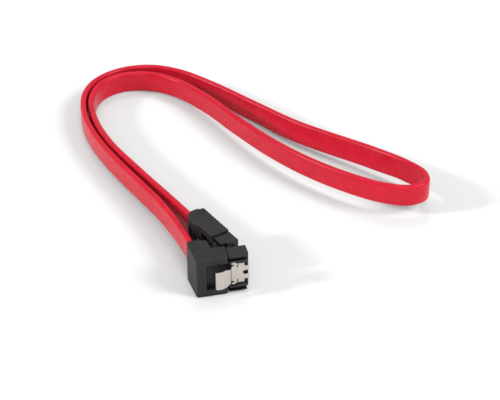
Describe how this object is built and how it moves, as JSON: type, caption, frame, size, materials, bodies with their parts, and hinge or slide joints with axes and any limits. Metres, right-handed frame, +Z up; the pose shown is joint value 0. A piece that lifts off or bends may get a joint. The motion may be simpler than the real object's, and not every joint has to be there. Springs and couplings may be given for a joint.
{
  "type": "sata data cable",
  "caption": "Flat red data cable lying in a doubled loop, with an angled latching connector at one end and a straight latching connector at the other.",
  "frame": {"origin": "middle of the flat narrow side that the angled connector's overmould rests on", "axes": "+X the way the angled connector's nose plugs in, +Y the way the cable leaves the angled connector, +Z up"},
  "size_m": [0.1132, 0.1482, 0.0148],
  "materials": {
    "cable_jacket": "satin soft PVC",
    "overmould": "fine moulded texture",
    "contact_housing": "smooth moulded, low sheen",
    "latch_steel": "stamped spring steel, satin",
    "contact_plating": "gold plated",
    "core_insulation": "smooth insulation",
    "drain_wire": "tinned copper"
  },
  "bodies": {
    "cable_assembly": {"flat_cable": "cable_jacket", "angled_overmould": "overmould", "angled_contact_housing": "contact_housing", "angled_contact_1": "contact_plating", "angled_drain_wire_1": "drain_wire", "angled_contact_2": "contact_plating", "angled_signal_wire_2": "core_insulation", "angled_contact_3": "contact_plating", "angled_signal_wire_3": "core_insulation", "angled_contact_4": "contact_plating", "angled_drain_wire_4": "drain_wire", "angled_contact_5": "contact_plating", "angled_signal_wire_5": "core_insulation", "angled_contact_6": "contact_plating", "angled_signal_wire_6": "core_insulation", "angled_contact_7": "contact_plating", "angled_drain_wire_7": "drain_wire", "straight_overmould": "overmould", "straight_contact_housing": "contact_housing", "straight_contact_1": "contact_plating", "straight_drain_wire_1": "drain_wire", "straight_contact_2": "contact_plating", "straight_signal_wire_2": "core_insulation", "straight_contact_3": "contact_plating", "straight_signal_wire_3": "core_insulation", "straight_contact_4": "contact_plating", "straight_drain_wire_4": "drain_wire", "straight_contact_5": "contact_plating", "straight_signal_wire_5": "core_insulation", "straight_contact_6": "contact_plating", "straight_signal_wire_6": "core_insulation", "straight_contact_7": "contact_plating", "straight_drain_wire_7": "drain_wire"},
    "angled_latch": {"angled_spring_latch": "latch_steel"},
    "straight_latch": {"straight_spring_latch": "latch_steel"}
  },
  "joints": [
    {"name": "angled_latch_press", "type": "hinge", "parent": "cable_assembly", "child": "angled_latch", "pos_m": [0.01205, -0.0015, 0.0074], "axis": [0, 0, -1], "range_deg": [0, 6], "stiffness_Nm_per_rad": 0.05},
    {"name": "straight_latch_press", "type": "hinge", "parent": "cable_assembly", "child": "straight_latch", "pos_m": [0.00628, 0.00529, 0.0074], "axis": [0, 0, -1], "range_deg": [0, 6], "stiffness_Nm_per_rad": 0.05}
  ]
}
